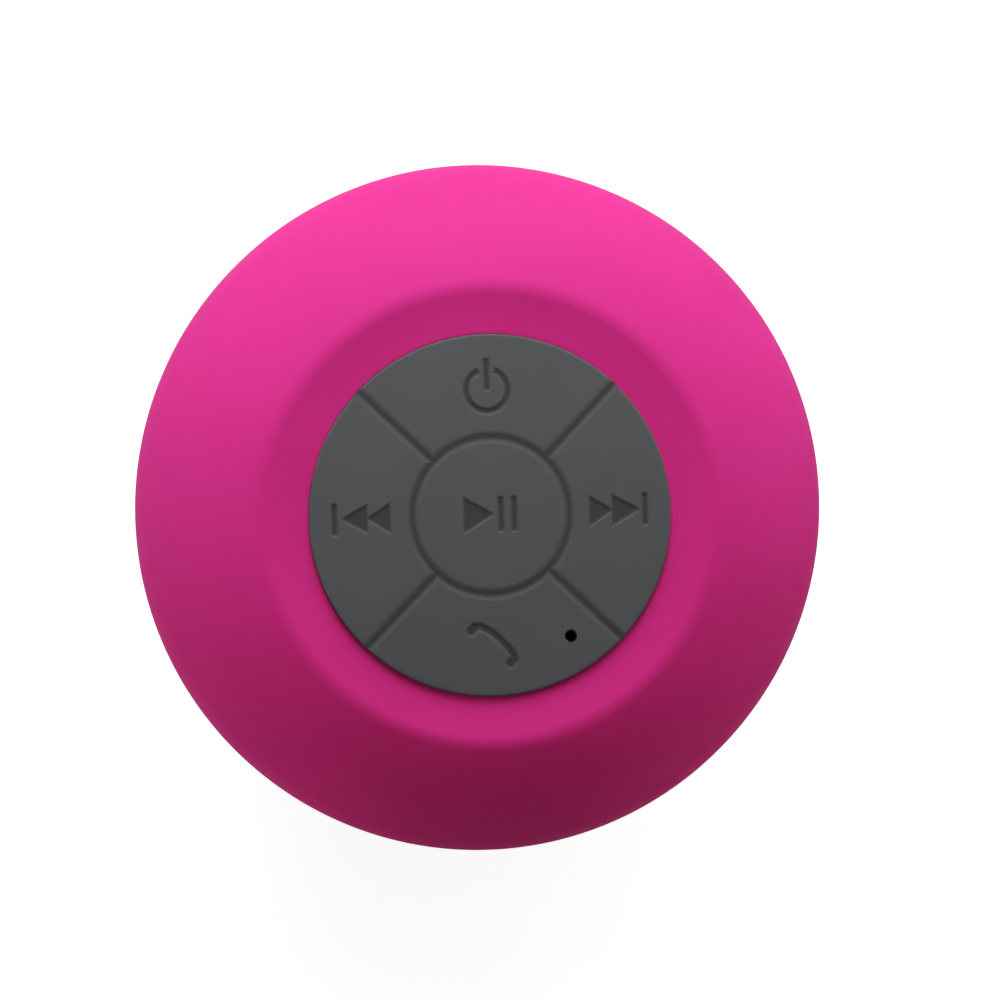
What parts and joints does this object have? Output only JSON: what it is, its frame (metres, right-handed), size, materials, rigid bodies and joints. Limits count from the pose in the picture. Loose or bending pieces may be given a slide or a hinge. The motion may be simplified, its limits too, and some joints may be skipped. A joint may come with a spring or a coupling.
{
  "type": "shower speaker",
  "caption": "Round saucer-shaped shower speaker with a silicone sleeve, a round rubber keypad on its face, sound slots behind and a suction cup to hang it by.",
  "frame": {"origin": "centre of the suction cup's rim, on the wall plane", "axes": "+Z out of the wall through the keypad; +Y towards the power key, which is the top as the speaker hangs; +X towards the next-track key; the charging port is at -Y"},
  "size_m": [0.086, 0.086, 0.0542],
  "materials": {
    "pink_silicone": "matte silicone",
    "grey_silicone": "matte silicone",
    "grey_abs": "fine spark texture",
    "white_abs": "satin",
    "black_abs": "satin",
    "black_rubber": "matte",
    "green_board": "solder mask",
    "steel": "bright",
    "brass": "machined",
    "ferrite": "ground ceramic magnet",
    "copper_winding": "lacquered wire",
    "cone_film": "thin film",
    "spider_cloth": "resin-stiffened weave",
    "chip_black": "moulded epoxy",
    "battery_foil": "foil pouch",
    "red_wire": "insulation",
    "black_wire": "insulation",
    "ribbon_cable": "flat cable",
    "led_lens": "clear lens"
  },
  "bodies": {
    "cup": {"suction_cup": "pink_silicone"},
    "housing": {"amplifier_chip": "chip_black", "audio_chip": "chip_black", "back_cover": "grey_abs", "battery": "battery_foil", "battery_wire_black": "black_wire", "battery_wire_red": "red_wire", "board_screw_1": "steel", "board_screw_2": "steel", "board_screw_3": "steel", "charge_board": "green_board", "charge_cable": "ribbon_cable", "cup_insert": "brass", "cup_screw": "steel", "cup_washer": "steel", "filter_capacitor": "steel", "front_shell": "white_abs", "housing_screw_1": "steel", "housing_screw_2": "steel", "housing_screw_3": "steel", "housing_screw_4": "steel", "housing_seal": "black_rubber", "keypad_web": "grey_silicone", "magnet_ring": "ferrite", "magnet_top_plate": "steel", "magnet_yoke": "steel", "main_board": "green_board", "microphone": "steel", "microphone_boot": "black_rubber", "silicone_sleeve": "pink_silicone", "speaker_baffle": "black_abs", "speaker_frame": "steel", "speaker_gasket": "black_rubber", "speaker_spider": "spider_cloth", "speaker_surround": "black_rubber", "speaker_wire_black": "black_wire", "speaker_wire_red": "red_wire", "status_led": "led_lens", "switch_base_call": "steel", "switch_base_next": "steel", "switch_base_play": "steel", "switch_base_power": "steel", "switch_base_previous": "steel", "usb_socket": "steel"},
    "key_play": {"key_play": "grey_silicone"},
    "key_power": {"key_power": "grey_silicone"},
    "key_previous": {"key_previous": "grey_silicone"},
    "key_next": {"key_next": "grey_silicone"},
    "key_call": {"key_call": "grey_silicone"},
    "plunger_play": {"plunger_play": "black_abs"},
    "plunger_power": {"plunger_power": "black_abs"},
    "plunger_previous": {"plunger_previous": "black_abs"},
    "plunger_next": {"plunger_next": "black_abs"},
    "plunger_call": {"plunger_call": "black_abs"},
    "cone": {"speaker_cone": "cone_film", "dust_cap": "cone_film", "voice_coil": "copper_winding"},
    "flap": {"usb_flap": "pink_silicone"}
  },
  "joints": [
    {"name": "cup_press", "type": "slide", "parent": "cup", "child": "housing", "axis": [0, 0, -1], "range_m": [0, 0.003], "stiffness_N_per_m": 2000, "springref_m": -0.003, "deforming": ["suction_cup"]},
    {"name": "press_play", "type": "slide", "parent": "housing", "child": "key_play", "axis": [0, 0, -1], "range_m": [0, 0.0005], "stiffness_N_per_m": 40, "springref_m": -0.002},
    {"name": "plunger_travel_play", "type": "slide", "parent": "housing", "child": "plunger_play", "axis": [0, 0, -1], "range_m": [0, 0.00026]},
    {"name": "press_power", "type": "slide", "parent": "housing", "child": "key_power", "axis": [0, 0, -1], "range_m": [0, 0.0005], "stiffness_N_per_m": 40, "springref_m": -0.002},
    {"name": "plunger_travel_power", "type": "slide", "parent": "housing", "child": "plunger_power", "axis": [0, 0, -1], "range_m": [0, 0.00026]},
    {"name": "press_previous", "type": "slide", "parent": "housing", "child": "key_previous", "axis": [0, 0, -1], "range_m": [0, 0.0005], "stiffness_N_per_m": 40, "springref_m": -0.002},
    {"name": "plunger_travel_previous", "type": "slide", "parent": "housing", "child": "plunger_previous", "axis": [0, 0, -1], "range_m": [0, 0.00026]},
    {"name": "press_next", "type": "slide", "parent": "housing", "child": "key_next", "axis": [0, 0, -1], "range_m": [0, 0.0005], "stiffness_N_per_m": 40, "springref_m": -0.002},
    {"name": "plunger_travel_next", "type": "slide", "parent": "housing", "child": "plunger_next", "axis": [0, 0, -1], "range_m": [0, 0.00026]},
    {"name": "press_call", "type": "slide", "parent": "housing", "child": "key_call", "axis": [0, 0, -1], "range_m": [0, 0.0005], "stiffness_N_per_m": 40, "springref_m": -0.002},
    {"name": "plunger_travel_call", "type": "slide", "parent": "housing", "child": "plunger_call", "axis": [0, 0, -1], "range_m": [0, 0.00026]},
    {"name": "cone_stroke", "type": "slide", "parent": "housing", "child": "cone", "axis": [0, 0, 1], "range_m": [-0.001, 0.001], "stiffness_N_per_m": 150, "deforming": ["speaker_surround", "speaker_spider"]},
    {"name": "flap_open", "type": "hinge", "parent": "housing", "child": "flap", "pos_m": [0, -0.03647, 0.02642], "axis": [1, 0, 0], "range_deg": [0, 110], "stiffness_Nm_per_rad": 0.0001, "springref_deg": -17.19}
  ],
  "couplings": [
    {"joint": "plunger_travel_play", "follows": "press_play", "ratio": 0.5},
    {"joint": "plunger_travel_power", "follows": "press_power", "ratio": 0.5},
    {"joint": "plunger_travel_previous", "follows": "press_previous", "ratio": 0.5},
    {"joint": "plunger_travel_next", "follows": "press_next", "ratio": 0.5},
    {"joint": "plunger_travel_call", "follows": "press_call", "ratio": 0.5}
  ]
}
